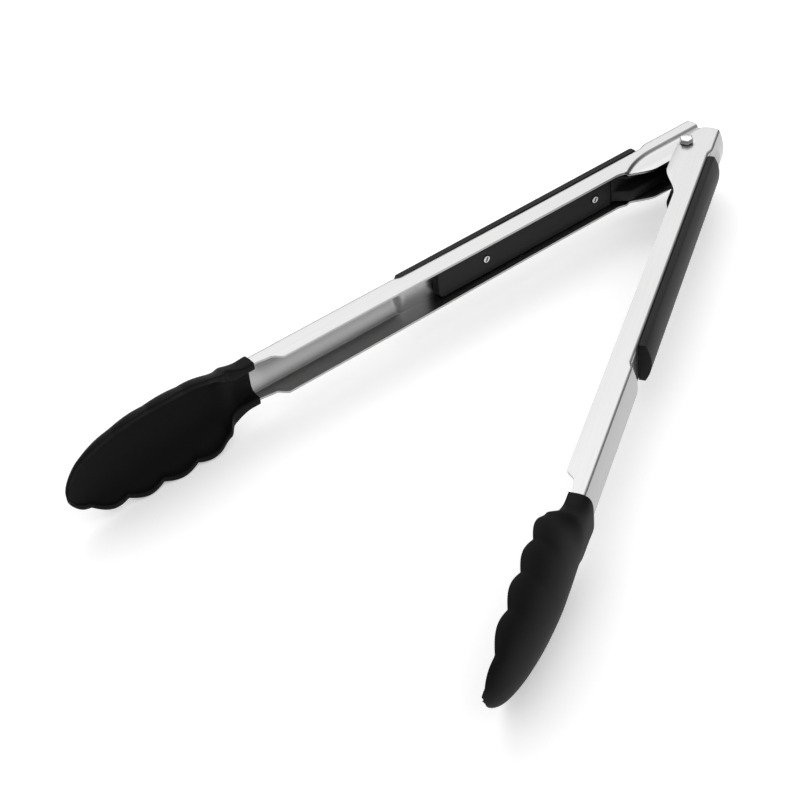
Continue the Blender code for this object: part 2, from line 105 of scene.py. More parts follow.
class Finish:
    """A procedural material round one Principled shader."""

    def __init__(self, name, **constants):
        self.material = bpy.data.materials.new(name)
        self.material.use_nodes = True
        self.tree = self.material.node_tree
        self.shader = self.tree.nodes["Principled BSDF"]
        for socket, value in constants.items():
            self.shader.inputs[socket.replace("_", " ")].default_value = value

    def node(self, kind, settings=None, sockets=None, output=0):
        made = self.tree.nodes.new(kind)
        for key, value in (settings or {}).items():
            if key == "stops":
                for stop, (place, grey) in zip(made.color_ramp.elements, value):
                    stop.position = place
                    stop.color = (grey, grey, grey, 1.0)
            else:
                setattr(made, key, value)
        for key, value in (sockets or {}).items():
            self.feed(made.inputs[key], value)
        return Value(self, made.outputs[output])

    def feed(self, socket, value):
        if isinstance(value, Value):
            self.tree.links.new(value.socket, socket)
        else:
            socket.default_value = value

    def along(self, turn=0.0, stretch=(1.0, 1.0, 1.0)):
        """Object coordinates, turned about the pivot's direction and stretched."""
        place = self.node("ShaderNodeTexCoord", output="Object")
        mapped = {"Vector": place, "Rotation": (0.0, 0.0, turn)}
        turned = self.node("ShaderNodeMapping", None, mapped)
        return self.node("ShaderNodeMapping", None, {"Vector": turned, "Scale": stretch})

    def noise(self, where, scale, detail=2.0, roughness=0.5):
        sockets = {"Vector": where, "Scale": scale, "Detail": detail, "Roughness": roughness}
        return self.node("ShaderNodeTexNoise", None, sockets, "Fac")

    def ramp(self, value, *stops):
        return self.node("ShaderNodeValToRGB", {"stops": stops}, {"Fac": value})

    def mix(self, share, first, second):
        colours = {0: share, 6: (*first, 1.0), 7: (*second, 1.0)}
        return self.node("ShaderNodeMix", {"data_type": "RGBA"}, colours, 2)

    def bump(self, height, strength, distance):
        sockets = {"Strength": strength, "Distance": distance, "Height": height}
        self.feed(self.shader.inputs["Normal"], self.node("ShaderNodeBump", None, sockets))

    def set(self, **links):
        for socket, value in links.items():
            self.feed(self.shader.inputs[socket.replace("_", " ")], value)
        return self.material


def deselect():
    """Leaves edit mode and selects nothing."""
    if bpy.context.object and bpy.context.object.mode != "OBJECT":
        bpy.ops.object.mode_set(mode="OBJECT")
    bpy.ops.object.select_all(action="DESELECT")


TABLE_SIZE = 6.0
TABLE_BOARD_WHITE = 0.93
TABLE_PAINTED_GLOW = 0.35


def table_finish():
    """White board with a fine grain; it glows faintly, painted light that lifts its shadows."""
    # Painted light: a constant glow over the whole table top, with no lamp behind it, that lightens
    # its shadows.
    finish = Finish("table_white", Roughness=0.75, Specular_IOR_Level=0.1,
                    Emission_Color=(1.0, 1.0, 1.0, 1.0), Emission_Strength=TABLE_PAINTED_GLOW)
    grain = finish.noise(finish.along(), 40.0, 4.0)
    white = (TABLE_BOARD_WHITE,) * 3
    shade = (TABLE_BOARD_WHITE - 0.01,) * 3
    finish.bump(grain, 0.02, 0.0005)
    return finish.set(Base_Color=finish.mix(grain, white, shade))


deselect()
bpy.ops.mesh.primitive_plane_add(size=TABLE_SIZE)
table = bpy.context.object
table.name = "table_top"
table.data.materials.append(table_finish())

HORIZON_GREY, OVERHEAD_WHITE = 0.05, 1.0
GREY_UP_TO, WHITE_FROM = 0.2, 0.8
STUDIO_FILL = 1.0
SOFT_BOX_SIZE, SOFT_BOX_DISTANCE = 1.0, 1.25
SOFT_BOX_AZIMUTH, SOFT_BOX_RISE = math.radians(-142.0), math.radians(43.0)
SOFT_BOX_WATTS = 4.1


def studio_tent():
    """A white tent overhead that darkens towards the level of the table."""
    world = bpy.data.worlds.new("studio_tent")
    world.use_nodes = True
    nodes, links = world.node_tree.nodes, world.node_tree.links
    place = nodes.new("ShaderNodeTexCoord")
    height = nodes.new("ShaderNodeSeparateXYZ")
    ramp = nodes.new("ShaderNodeValToRGB")
    links.new(place.outputs["Generated"], height.inputs["Vector"])
    links.new(height.outputs["Z"], ramp.inputs["Fac"])
    links.new(ramp.outputs["Color"], nodes["Background"].inputs["Color"])
    low, high = ramp.color_ramp.elements
    low.position, high.position = GREY_UP_TO, WHITE_FROM
    low.color = (HORIZON_GREY, HORIZON_GREY, HORIZON_GREY, 1.0)
    high.color = (OVERHEAD_WHITE, OVERHEAD_WHITE, OVERHEAD_WHITE, 1.0)
    nodes["Background"].inputs["Strength"].default_value = STUDIO_FILL
    bpy.context.scene.world = world


studio_tent()
bpy.context.scene.view_settings.view_transform = "Standard"

TOOL_MIDDLE = (cad_box[0] + cad_box[1]) / 2.0


def direction(azimuth, rise):
    """The unit vector that points to an azimuth and a height, both as angles."""
    flat = math.cos(rise)
    return Vector((math.cos(azimuth) * flat, math.sin(azimuth) * flat, math.sin(rise)))


def soft_light(name, towards, distance, size, watts):
    deselect()
    bpy.ops.object.light_add(type="AREA", location=TOOL_MIDDLE + towards * distance)
    light = bpy.context.object
    light.name = name
    light.data.size = size
    light.data.energy = watts
    light.rotation_euler = (-towards).to_track_quat("-Z", "Y").to_euler()


box_direction = direction(SOFT_BOX_AZIMUTH, SOFT_BOX_RISE)
soft_light("soft_box", box_direction, SOFT_BOX_DISTANCE, SOFT_BOX_SIZE, SOFT_BOX_WATTS)

PIVOT = Vector(frame["joints"][0]["pos_m"])
CAMERA_FROM_PIVOT = Vector((0.5849, 0.3184, 0.4550))
CAMERA_AZIMUTH = math.radians(-140.53)
CAMERA_DIP = math.radians(40.89)
CAMERA_ROLL = math.radians(-6.37)
LENS = 88.0

deselect()
bpy.ops.object.camera_add(location=PIVOT + CAMERA_FROM_PIVOT)
camera = bpy.context.object
upright = direction(CAMERA_AZIMUTH, -CAMERA_DIP).to_track_quat("-Z", "Y").to_matrix()
camera.rotation_euler = (upright @ Matrix.Rotation(CAMERA_ROLL, 3, "Z")).to_euler()
camera.data.lens = LENS
camera.data.clip_start = 0.01
bpy.context.scene.camera = camera


# ---------------------------------------------------------------------------------------------
# Arms: two channels pressed from 0.9 mm stainless sheet and brushed lengthwise. The back is
# pressed in where the grip sits, and the inner arm's ears are joggled to fit inside the outer's.
# ---------------------------------------------------------------------------------------------

MM = 0.001
HALF_OPENING = math.radians(16.9)
OUTER, INNER = 1, -1
SIDES = {"outer": OUTER, "inner": INNER}

SHEET = 0.9
CHANNEL_HALF_HEIGHT = 8.3
BACK_V = 11.5
BACK_CROWN = 1.85
BEND_RADIUS, BEND_STOPS_AT = 1.2, math.radians(25.0)
EAR_END_U, ARM_END_U = -12.0, 216.5
FLANGE_EDGE_V = 2.5
FLANGE_LEAN, FLANGE_LEAN_START_U, FLANGE_LEAN_END_U = 0.2, 40.0, 190.0
EAR_REACH, EAR_END_REACH = 6.1, 0.6
EAR_SLIM_U, EAR_FULL_U, EAR_FOOT_U = 12.0, 19.0, 36.0
EAR_ROUND_LENGTH, EAR_ROUND_DEPTH = 12.1, 8.0
EAR_BOW, EAR_BOW_V, EAR_BOW_HALF_WIDTH = 1.1, 7.0, 4.5
NECK_EDGE_V, NECK_NARROWING = 5.7, 1.0
NECK_START_U, NECK_END_U, HEAD_START_U = 197.0, 201.5, 208.4
HEIGHT_GROWTH, GROWTH_START_U, GROWTH_END_U = 0.6, 60.0, 180.0
RECESS_DEPTH = 1.15
RECESS_START_U, RECESS_END_U = {OUTER: -3.0, INNER: 7.5}, 142.0
RECESS_ROUNDING, RECESS_RAMP = 5.0, 4.0
JOGGLE_DROP, JOGGLE_WIDTH = 1.2, 1.3
JOGGLE_V, JOGGLE_FALL = 6.7, 5.1
JOGGLE_BEND_U, JOGGLE_END_U = 12.0, 31.0
PIN_HOLE_RADIUS, DRILL_LENGTH = 2.25, 40.0
SHEET_EDGE_ROUND = 0.14


def on_arm(side, u, v, z):
    """The place in the frame, in metres, of a place on an arm, in millimetres."""
    along = Vector((math.cos(HALF_OPENING), side * math.sin(HALF_OPENING), 0.0))
    outwards = Vector((-math.sin(HALF_OPENING), side * math.cos(HALF_OPENING), 0.0))
    return PIVOT + (along * u + outwards * v + Vector((0.0, 0.0, z))) * MM


def ease(start, end, value):
    t = min(1.0, max(0.0, (value - start) / (end - start)))
    return t * t * (3.0 - 2.0 * t)


def shaped_grid(name, lengthwise, across, point):
    """Adds a grid and moves its crossing (i, j) to point(i, j)."""
    deselect()
    bpy.ops.mesh.primitive_grid_add(size=1.0, x_subdivisions=lengthwise - 1,
                                    y_subdivisions=across - 1)
    piece = bpy.context.object
    piece.name = name
    for vertex in piece.data.vertices:
        i = round((vertex.co.x + 0.5) * (lengthwise - 1))
        j = round((vertex.co.y + 0.5) * (across - 1))
        vertex.co = point(i, j)
    return piece


def apply_modifier(piece, kind, **settings):
    modifier = piece.modifiers.new(kind.lower(), kind)
    for key, value in settings.items():
        setattr(modifier, key, value)
    bpy.context.view_layer.objects.active = piece
    bpy.ops.object.modifier_apply(modifier=modifier.name)


def pick(piece):
    """Makes a piece the active one and the only one selected."""
    deselect()
    bpy.context.view_layer.objects.active = piece
    piece.select_set(True)


def smooth(piece, angle=40.0):
    pick(piece)
    bpy.ops.object.shade_smooth_by_angle(angle=math.radians(angle))


def half_height(u):
    """Half the channel's height: it grows a little from the grip to the head."""
    return CHANNEL_HALF_HEIGHT + HEIGHT_GROWTH * ease(GROWTH_START_U, GROWTH_END_U, u)


def flange_edge(u):
    """The v of a flange's free edge: a round-ended ear at the pivot, a neck before the head."""
    straight = FLANGE_EDGE_V - FLANGE_LEAN * ease(FLANGE_LEAN_START_U, FLANGE_LEAN_END_U, u)
    ear = (EAR_REACH - EAR_END_REACH * ease(EAR_SLIM_U, 0.0, u)) * ease(EAR_FOOT_U, EAR_FULL_U, u)
    past_pin = min(u, 0.0) / EAR_ROUND_LENGTH
    end_round = EAR_ROUND_DEPTH * (1.0 - math.sqrt(max(0.0, 1.0 - past_pin ** 2)))
    neck = (NECK_EDGE_V - FLANGE_EDGE_V + FLANGE_LEAN) * ease(NECK_START_U, NECK_END_U, u)
    neck += NECK_NARROWING * ease(NECK_END_U, HEAD_START_U, u)
    return straight - ear + end_round + neck


def seat_depth(side, u, height):
    """How far the grip's seat is pressed in here, from 0 to 1."""
    start_u = RECESS_START_U[side] + RECESS_ROUNDING * (height / CHANNEL_HALF_HEIGHT) ** 2
    sunk = ease(start_u, start_u + RECESS_RAMP, u)
    return sunk * ease(RECESS_END_U, RECESS_END_U - RECESS_RAMP, u)


def joggle_line(u):
    """The v of the step in the inner arm's ears, which runs out to the free edge."""
    past_bend = max(0.0, (u - JOGGLE_BEND_U) / (JOGGLE_END_U - JOGGLE_BEND_U))
    return JOGGLE_V - JOGGLE_FALL * past_bend ** 2.4


def half_section(side, u):
    """The channel's outer face as (v, z), from its upper flange's edge to mid height."""
    edge = flange_edge(u)
    sunk = seat_depth(side, u, CHANNEL_HALF_HEIGHT)
    bend_v = BACK_V - RECESS_DEPTH * sunk - BEND_RADIUS
    top_z = half_height(u)
    bend_z = top_z - BEND_RADIUS
    step = max(joggle_line(u), edge + 0.6)
    depth = 0.0
    if side == INNER:
        depth = JOGGLE_DROP * min(1.0, max(0.0, (joggle_line(u) - edge) / JOGGLE_WIDTH))
    low = max(step - JOGGLE_WIDTH, edge + 0.2)
    points = [(edge + (low - edge) * share, top_z - depth) for share in (0.0, 0.4, 0.85)]
    for share in (0.0, 0.2, 0.4, 0.6, 0.8, 1.0):
        points.append((low + (step - low) * share, top_z - depth * (1.0 - ease(0.0, 1.0, share))))
    for share in (0.1, 0.5, 0.92):
        points.append((step + (bend_v - step) * share, top_z))
    last_angle = BEND_STOPS_AT * (1.0 - sunk)
    for i in range(8):
        angle = math.pi / 2 + (last_angle - math.pi / 2) * i / 7
        v = bend_v + BEND_RADIUS * math.cos(angle)
        points.append((v, bend_z + BEND_RADIUS * math.sin(angle)))
    side_v, side_z = points[-1]
    for share in (0.93, 0.8, 0.65, 0.5, 0.35, 0.18, 0.0):
        local = seat_depth(side, u, side_z * share)
        crown = BACK_CROWN * (1.0 - share * share) * (1.0 - local)
        points.append((side_v - RECESS_DEPTH * (local - sunk) + crown, side_z * share))
    return points


def spaced(start, end, step):
    """Even places from start up to, but not including, end."""
    count = max(1, round((end - start) / step))
    return [start + (end - start) * i / count for i in range(count)]


def arm_places():
    """Places along the arm at which its sheet is drawn, closest where it is formed."""
    places = spaced(EAR_END_U, -9.0, 0.3) + spaced(-9.0, 40.0, 0.7) + spaced(40.0, 137.0, 8.0)
    places += spaced(137.0, 143.0, 0.35) + spaced(143.0, 196.0, 6.0) + spaced(196.0, 202.5, 0.3)
    return places + spaced(202.5, ARM_END_U, 3.5) + [ARM_END_U]


def brushed_steel(name, side):
    """Stainless sheet: lengthwise brushing, faint handling marks and a soft sheen."""
    finish = Finish(name, Metallic=1.0)
    turn = -side * HALF_OPENING
    fine = finish.noise(finish.along(turn, (45.0, 2600.0, 2600.0)), 1.0, 3.0, 0.65)
    broad = finish.noise(finish.along(turn, (9.0, 420.0, 420.0)), 1.0, 2.0)
    cloud = finish.noise(finish.along(turn, (18.0, 40.0, 40.0)), 1.0, 3.0)
    streak = fine * 0.65 + broad * 0.35
    finish.bump(streak, 0.022, 0.00006)
    rough = 0.22 + 0.08 * streak + 0.05 * cloud
    brushing = finish.ramp(streak, (0.3, 0.0), (0.7, 1.0))
    tone = finish.mix(brushing, (0.415, 0.415, 0.413), (0.46, 0.46, 0.458))
    return finish.set(Base_Color=tone, Roughness=rough)


def make_arm(name, side):
    """Draws the channel's outer face, gives it the sheet's thickness and drills the pin's holes."""
    places = arm_places()
    sections = []
    for u in places:
        upper = half_section(side, u)
        sections.append(upper + [(v, -z) for v, z in reversed(upper[:-1])])

    def point(i, j):
        v, z = sections[i][j if side == OUTER else len(sections[i]) - 1 - j]
        bow = EAR_BOW * ((v - EAR_BOW_V) / EAR_BOW_HALF_WIDTH) ** 2
        return on_arm(side, places[i] + ease(0.0, EAR_END_U, places[i]) * bow, v, z)

    arm = shaped_grid(name, len(places), len(sections[0]), point)
    apply_modifier(arm, "SOLIDIFY", thickness=SHEET * MM, offset=-1.0, use_even_offset=True)
    deselect()
    bpy.ops.mesh.primitive_cylinder_add(vertices=48, radius=PIN_HOLE_RADIUS * MM,
                                        depth=DRILL_LENGTH * MM, location=PIVOT)
    drill = bpy.context.object
    apply_modifier(arm, "BOOLEAN", operation="DIFFERENCE", object=drill, solver="EXACT")
    bpy.data.objects.remove(drill, do_unlink=True)
    apply_modifier(arm, "BEVEL", width=SHEET_EDGE_ROUND * MM, segments=2, limit_method="ANGLE",
                   angle_limit=math.radians(60.0))
    smooth(arm)
    arm.data.materials.append(brushed_steel(name + "_steel", side))
    return arm


def fit(piece, body, node):
    """Fixes a finished piece to its body in place of its plain node."""
    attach(piece, body)
    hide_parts(node)


for prefix, side in SIDES.items():
    fit(make_arm(prefix + "_channel", side), prefix + "_side", prefix + "_arm")


# ---------------------------------------------------------------------------------------------
# Heads: a scoop of matte black silicone moulded over the end of each arm, with a collar round
# the channel and a scalloped free edge whose lobes lean slightly outwards.
# ---------------------------------------------------------------------------------------------

HEAD_TIP_U = 291.7
COLLAR_HALF_WIDTH, COLLAR_BORE = 9.9, 6.6
FLARE_START_U, FLARE_END_U, FLARE = 212.0, 227.0, 5.3
BELLY_START_U, BELLY_END_U, BELLY = 224.0, 238.5, 2.4
TAPER_START_U, TAPER_POWER = 250.7, 2.16
HEAD_BACK_V, TIP_V = 14.15, 0.5
BACK_TAPER_START_U, BACK_TAPER_POWER = 243.0, 1.6
LOBE_PITCH, FIRST_VALLEY_U = 14.65, 239.2
LOBE_REACH, LOBE_FLARE = 1.45, 1.33
LOBE_FADE_BEFORE, LOBE_FADE_AFTER, LEAN_END_U = 2.0, 5.0, 280.0
VALLEY_V, COLLAR_EDGE_V = 2.95, 6.0
COLLAR_EDGE_END_U, VALLEY_START_U = 220.0, 224.0
COLLAR_SQUARENESS, HEAD_SQUARENESS = 4.1, 1.9
SQUARE_END_U, ROUND_START_U = 205.4, 227.6
HEAD_WALL = 2.2
FILLED_END_U, THIN_START_U, TIP_WALL_START_U = 217.0, 226.0, 270.0
ARCH_POINTS = 49
RIM_POINTS = 7
RIM_HEIGHT = 0.4


def head_half_width(u):
    flare = FLARE * ease(FLARE_START_U, FLARE_END_U, u)
    belly = BELLY * ease(BELLY_START_U, BELLY_END_U, u)
    taper = max(0.0, (u - TAPER_START_U) / (HEAD_TIP_U - TAPER_START_U)) ** TAPER_POWER
    return (COLLAR_HALF_WIDTH + (flare + belly)) * math.sqrt(max(0.0, 1.0 - taper))


def head_back(u):
    """The head's back comes forward to the free edge at the tip."""
    gone = max(0.0, (u - BACK_TAPER_START_U) / (HEAD_TIP_U - BACK_TAPER_START_U))
    taper = gone ** BACK_TAPER_POWER
    return TIP_V + (HEAD_BACK_V - TIP_V) * math.sqrt(max(0.0, 1.0 - taper))


def lobes(u):
    """The scallops along the free edge: 0 in a valley, 1 on a lobe."""
    wave = abs(math.sin(math.pi * (u - FIRST_VALLEY_U) / LOBE_PITCH))
    first_u = FIRST_VALLEY_U - LOBE_PITCH
    return wave * ease(first_u - LOBE_FADE_BEFORE, first_u + LOBE_FADE_AFTER, u)


def head_edge(u):
    """The v of the head's free edge."""
    collar = (COLLAR_EDGE_V - VALLEY_V) * ease(VALLEY_START_U, COLLAR_EDGE_END_U, u)
    return VALLEY_V + collar - LOBE_REACH * lobes(u)


def head_wall(u):
    """Wall thickness: the collar is filled in to a bore smaller than the channel."""
    collar_wall = head_half_width(u) - COLLAR_BORE
    return collar_wall + (HEAD_WALL - collar_wall) * ease(FILLED_END_U, THIN_START_U, u)


def head_arch(u, wall):
    """One face of the head's section as (v, z), from its upper edge to its lower edge."""
    rounding = ease(SQUARE_END_U, ROUND_START_U, u)
    squareness = COLLAR_SQUARENESS + (HEAD_SQUARENESS - COLLAR_SQUARENESS) * rounding
    back = head_back(u) - wall
    edge = min(head_edge(u), back - 0.3)
    lean = LOBE_FLARE * lobes(u) * ease(HEAD_TIP_U, LEAN_END_U, u)
    half_width = max(0.05, head_half_width(u) + lean - wall)
    points = []
    for i in range(ARCH_POINTS):
        angle = math.pi * i / (ARCH_POINTS - 1)
        across = math.copysign(abs(math.cos(angle)) ** (2.0 / squareness), math.cos(angle))
        deep = abs(math.sin(angle)) ** (2.0 / squareness)
        points.append((edge + (back - edge) * deep, half_width * across))
    return points


def head_section(u):
    """The whole wall: outer face, lower rim, inner face and upper rim, as (u, v, z)."""
    inner_u = u - HEAD_WALL * ease(TIP_WALL_START_U, HEAD_TIP_U, u)
    outside = [(u, v, z) for v, z in head_arch(u, 0.0)]
    inside = [(inner_u, v, z) for v, z in reversed(head_arch(inner_u, head_wall(u)))]
    rim = []
    for i in range(1, RIM_POINTS):
        turn = math.pi * i / RIM_POINTS
        share = (1.0 - math.cos(turn)) / 2.0
        place = Vector(outside[-1]).lerp(Vector(inside[0]), share)
        rim.append((place.x, place.y - RIM_HEIGHT * math.sqrt(math.sin(turn)), place.z))
    upper_rim = [(a, b, -c) for a, b, c in reversed(rim)]
    return outside + rim + inside + upper_rim + outside[:1]


def head_places():
    """Places along the head at which its wall is drawn: one in every valley, closest at the tip."""
    places = [HEAD_START_U, HEAD_START_U + 0.15, HEAD_START_U + 0.45]
    places += spaced(HEAD_START_U + 1.2, FIRST_VALLEY_U, 0.8)
    valleys = [FIRST_VALLEY_U + LOBE_PITCH * k for k in range(4)]
    for valley, following in zip(valleys, valleys[1:]):
        places += spaced(valley, following, 0.8)
    last_u = valleys[-1]
    tip = HEAD_TIP_U - last_u
    places += [last_u + tip * math.sin(math.pi / 2 * i / 20) for i in range(20)]
    return places + [HEAD_TIP_U - 0.02]


def black_silicone(name):
    """Matte silicone: a fine moulded skin, slightly glossier where it is rubbed."""
    finish = Finish(name, Specular_IOR_Level=0.10)
    skin = finish.noise(finish.along(), 1900.0, 2.0)
    cloud = finish.noise(finish.along(), 45.0, 4.0, 0.6)
    speck = finish.ramp(finish.noise(finish.along(), 620.0, 1.0), (0.76, 0.0), (0.80, 1.0))
    finish.bump(skin, 0.12, 0.00012)
    tone = finish.mix(cloud * 0.6 + speck * 0.4, (0.0035, 0.0035, 0.0037), (0.008, 0.008, 0.0083))
    return finish.set(Base_Color=tone, Roughness=0.50 + 0.16 * cloud)


def edit_whole(piece):
    """Goes into edit mode with the whole of a piece selected."""
    pick(piece)
    bpy.ops.object.mode_set(mode="EDIT")
    bpy.ops.mesh.select_all(action="SELECT")


def close_wall(piece):
    """Merges a wall's seam and its closed ends, and turns its faces outwards."""
    edit_whole(piece)
    bpy.ops.mesh.remove_doubles(threshold=0.000002)
    bpy.ops.mesh.normals_make_consistent(inside=False)
    bpy.ops.object.mode_set(mode="OBJECT")


def wall_middle(section):
    """The line midway between the wall's two faces, on which an end of the wall closes."""
    count = len(section)
    lower_rim = ARCH_POINTS - 1 + RIM_POINTS / 2.0
    middle = []
    for j, point in enumerate(section):
        across = section[round(2.0 * lower_rim - j) % (count - 1)]
        middle.append((Vector(point) + Vector(across)) / 2.0)
    return middle


def make_head(name, side):
    sections = [head_section(u) for u in head_places()]
    rows = [wall_middle(sections[0])] + sections + [wall_middle(sections[-1])]
    head = shaped_grid(name, len(rows), len(rows[0]), lambda i, j: on_arm(side, *rows[i][j]))
    close_wall(head)
    smooth(head, 50.0)
    head.data.materials.append(black_silicone(name + "_silicone"))
    return head


for prefix, side in SIDES.items():
    fit(make_head(prefix + "_scoop", side), prefix + "_side", prefix + "_head")


# ---------------------------------------------------------------------------------------------
# Grips: a long pad of black soft-touch plastic in the seat pressed into each channel's back.
# The pivot end is rounded, the head end is square, and the outer face is crowned.
# ---------------------------------------------------------------------------------------------

GRIP_SPAN_U = {OUTER: (4.0, 128.5), INNER: (15.0, 138.6)}
GRIP_SEAT_V = BACK_V - RECESS_DEPTH + 0.12
GRIP_HALF_HEIGHT = 8.1
GRIP_TOP_V, GRIP_CROWN_V = 12.9, 15.2
GRIP_CORNER = 0.9
GRIP_END_ROUND = 4.5


def soft_plastic(name, tone, side):
    """Soft-touch plastic: a fine spark-eroded texture with faint rub marks along the arm."""
    finish = Finish(name, Specular_IOR_Level=0.19)
    skin = finish.noise(finish.along(), 2600.0, 2.0)
    rub = finish.noise(finish.along(-side * HALF_OPENING, (20.0, 160.0, 160.0)), 1.0, 3.0)
    finish.bump(skin, 0.15, 0.0001)
    colour = finish.mix(rub, (tone, tone, tone), (tone * 2.2, tone * 2.2, tone * 2.25))
    return finish.set(Base_Color=colour, Roughness=0.40 + 0.16 * rub + 0.06 * skin)


def bar(name, low, high):
    """Adds a cube that fills a box in an arm's own millimetres."""
    deselect()
    bpy.ops.mesh.primitive_cube_add(size=1.0)
    piece = bpy.context.object
    piece.name = name
    for vertex in piece.data.vertices:
        vertex.co = [a if c < 0.0 else b for a, b, c in zip(low, high, vertex.co)]
    return piece


def slice_across(piece, axis, places):
    """Cuts a piece right through at several places along one of its axes."""
    edit_whole(piece)
    for place in places:
        bpy.ops.mesh.select_all(action="SELECT")
        point = [0.0, 0.0, 0.0]
        point[axis] = place
        normal = [0.0, 0.0, 0.0]
        normal[axis] = 1.0
        bpy.ops.mesh.bisect(plane_co=point, plane_no=normal)
    bpy.ops.object.mode_set(mode="OBJECT")


def put_on_arm(piece, side):
    """Moves a piece drawn in its arm's millimetres to its place in the frame."""
    for vertex in piece.data.vertices:
        vertex.co = on_arm(side, *vertex.co)
    if side == INNER:
        edit_whole(piece)
        bpy.ops.mesh.flip_normals()
        bpy.ops.object.mode_set(mode="OBJECT")


def make_grip(name, side):
    start, end = GRIP_SPAN_U[side]
    low = (start, GRIP_SEAT_V, -GRIP_HALF_HEIGHT)
    grip = bar(name, low, (end, GRIP_TOP_V, GRIP_HALF_HEIGHT))
    turns = [math.pi / 2 * i / 10 for i in range(1, 11)]
    rounds = [start + GRIP_END_ROUND * (1.0 - math.cos(turn)) for turn in turns]
    slice_across(grip, 0, rounds + spaced(start + 20.0, end, 15.0))
    slice_across(grip, 2, [GRIP_HALF_HEIGHT * share / 8.0 for share in range(-7, 8)])
    for vertex in grip.data.vertices:
        u, v, z = vertex.co
        gone = max(0.0, 1.0 - (u - start) / GRIP_END_ROUND)
        width = max(0.3, math.sqrt(1.0 - gone * gone))
        height = 0.35 + 0.65 * math.sqrt(1.0 - gone * gone)
        crown = (GRIP_CROWN_V - GRIP_TOP_V) * (1.0 - (z / GRIP_HALF_HEIGHT) ** 2)
        if v > GRIP_SEAT_V + 0.1:
            vertex.co.y = GRIP_SEAT_V + (v + crown - GRIP_SEAT_V) * height
        vertex.co.z = z * width
    apply_modifier(grip, "BEVEL", width=GRIP_CORNER, segments=4, limit_method="ANGLE",
                   angle_limit=math.radians(45.0))
    put_on_arm(grip, side)
    smooth(grip, 50.0)
    grip.data.materials.append(soft_plastic(name + "_plastic", 0.004, side))
    return grip


for prefix, side in SIDES.items():
    fit(make_grip(prefix + "_hand_grip", side), prefix + "_side", prefix + "_grip")


# ---------------------------------------------------------------------------------------------
# Liners: a flat moulded strip inside each channel, with a countersunk seat for each of the two
# small fasteners that pull the liner and the grip together through the steel.
# ---------------------------------------------------------------------------------------------

LINER_START_U, LINER_END_U = 36.3, 124.6
LINER_HALF_HEIGHT = 6.9
LINER_FACE_V = 5.15
LINER_SEAT_V = BACK_V - RECESS_DEPTH - SHEET - 0.2
SCREW_U = {"rear": 45.0, "front": 101.0}
LINER_CORNER = 2.6
COUNTERBORE_RADIUS, COUNTERBORE_DEPTH = 1.85, 0.75


def select_only(piece, kind, chosen):
    """Goes into edit mode with only the faces, or the edges, that a test picks selected."""
    edit_whole(piece)
    bpy.ops.mesh.select_mode(type=kind)
    bpy.ops.mesh.select_all(action="DESELECT")
    bpy.ops.object.mode_set(mode="OBJECT")
    for part in piece.data.polygons if kind == "FACE" else piece.data.edges:
        part.select = chosen(part)
    bpy.ops.object.mode_set(mode="EDIT")


def rod(name, u, low_v, high_v, radius):
    """Adds a cylinder that runs across the arm, in the arm's own millimetres."""
    deselect()
    middle = (u, (low_v + high_v) / 2.0, 0.0)
    bpy.ops.mesh.primitive_cylinder_add(vertices=32, radius=radius, depth=high_v - low_v,
                                        location=middle, rotation=(math.pi / 2, 0.0, 0.0))
    bpy.ops.object.transform_apply(location=True, rotation=True, scale=True)
    made = bpy.context.object
    made.name = name
    return made


def cut_away(piece, cutter):
    apply_modifier(piece, "BOOLEAN", operation="DIFFERENCE", object=cutter, solver="EXACT")
    bpy.data.objects.remove(cutter, do_unlink=True)


def make_liner(name, side):
    low = (LINER_START_U, LINER_FACE_V, -LINER_HALF_HEIGHT)
    liner = bar(name, low, (LINER_END_U, LINER_SEAT_V, LINER_HALF_HEIGHT))

    def is_head_end_corner(edge):
        first, second = [liner.data.vertices[end].co for end in edge.vertices]
        return min(first.x, second.x) > LINER_END_U - 0.1 and abs(first.y - second.y) > 1.0

    select_only(liner, "EDGE", is_head_end_corner)
    bpy.ops.mesh.bevel(offset=LINER_CORNER, segments=8, affect="EDGES")
    bpy.ops.object.mode_set(mode="OBJECT")
    apply_modifier(liner, "BEVEL", width=0.5, segments=4, limit_method="ANGLE")
    for where, u in SCREW_U.items():
        cut_away(liner, rod("seat", u, 2.0, LINER_FACE_V + COUNTERBORE_DEPTH, COUNTERBORE_RADIUS))
    put_on_arm(liner, side)
    smooth(liner)
    liner.data.materials.append(soft_plastic(name + "_plastic", 0.007, side))
    return liner


for prefix, side in SIDES.items():
    fit(make_liner(prefix + "_strip", side), prefix + "_side", prefix + "_liner")


# ---------------------------------------------------------------------------------------------
# Fasteners: two small bright steel pan heads in each liner, with a deep slot across the middle.
# The driver has left the slots at a slant.
# ---------------------------------------------------------------------------------------------

SCREW_HEAD_RADIUS, SCREW_HEAD_HEIGHT, SCREW_HEAD_ROUND = 1.5, 0.5, 0.22
SLOT_LENGTH, SLOT_WIDTH, SLOT_DEPTH = 1.9, 0.75, 1.3
SLOT_SLANT = math.radians(60.0)
SLOT_CUTTER_EXTRA = 1.0


def bright_metal(name, rough=0.16):
    """Polished steel with the faint rings of turning and light scuffs."""
    finish = Finish(name, Metallic=1.0)
    scuff = finish.noise(finish.along(), 900.0, 4.0, 0.6)
    finish.bump(scuff, 0.05, 0.00005)
    tone = finish.mix(scuff, (0.55, 0.55, 0.55), (0.68, 0.68, 0.68))
    return finish.set(Base_Color=tone, Roughness=rough + 0.14 * scuff)


